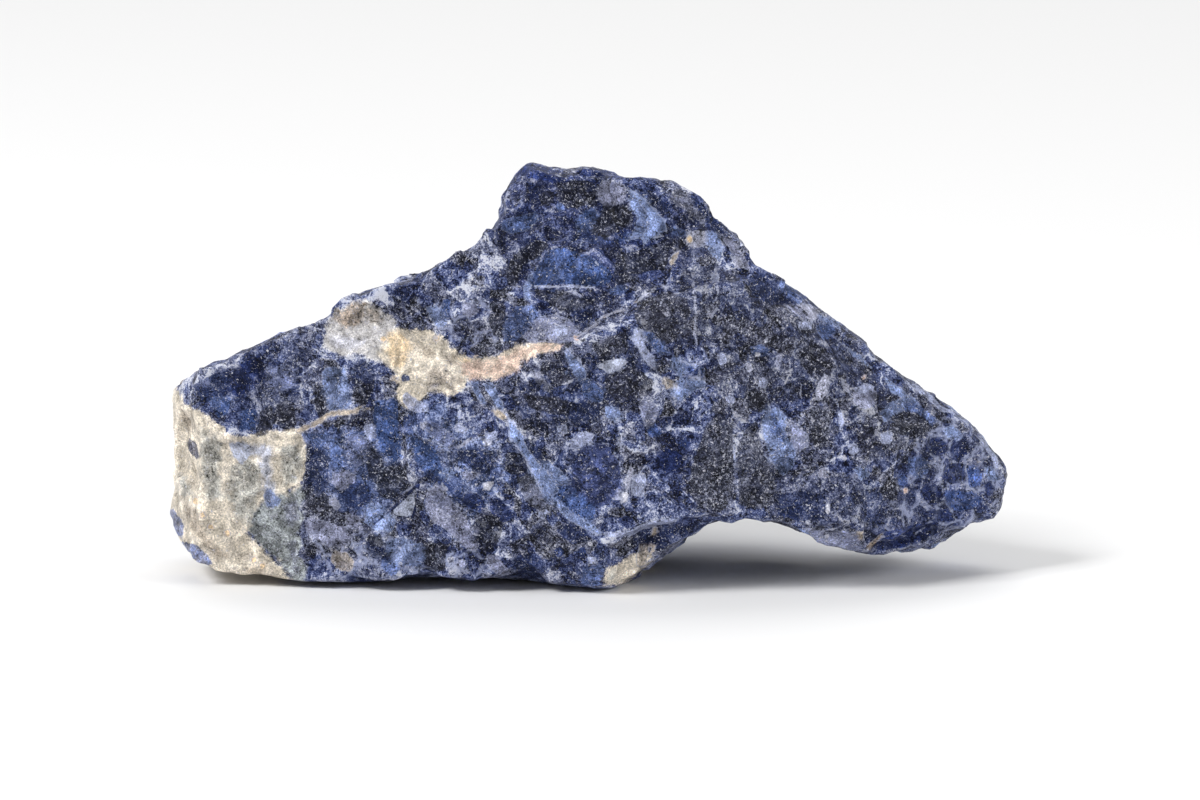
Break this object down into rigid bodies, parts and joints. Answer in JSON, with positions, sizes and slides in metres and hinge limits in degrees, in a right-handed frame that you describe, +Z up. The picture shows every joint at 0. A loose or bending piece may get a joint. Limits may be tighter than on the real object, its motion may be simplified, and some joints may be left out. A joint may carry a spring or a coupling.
{
  "type": "rough sodalite stone",
  "caption": "Rough broken lump of blue sodalite with pale veins, a cream end and stepped fracture ledges, lying on a small flat spot.",
  "frame": {"origin": "on the ground, in the middle of the stone's box seen from above", "axes": "+X along the stone's length towards its pointed tip, -Y out of the face that the picture shows, +Z up"},
  "size_m": [0.1128, 0.0468, 0.0555],
  "materials": {
    "sodalite_rock": "rough crystalline fracture, navy to periwinkle blue grains with white speckle, cream and pinkish veins, dull with small glassy glints"
  },
  "bodies": {
    "root": {"sodalite": "sodalite_rock"}
  },
  "joints": []
}
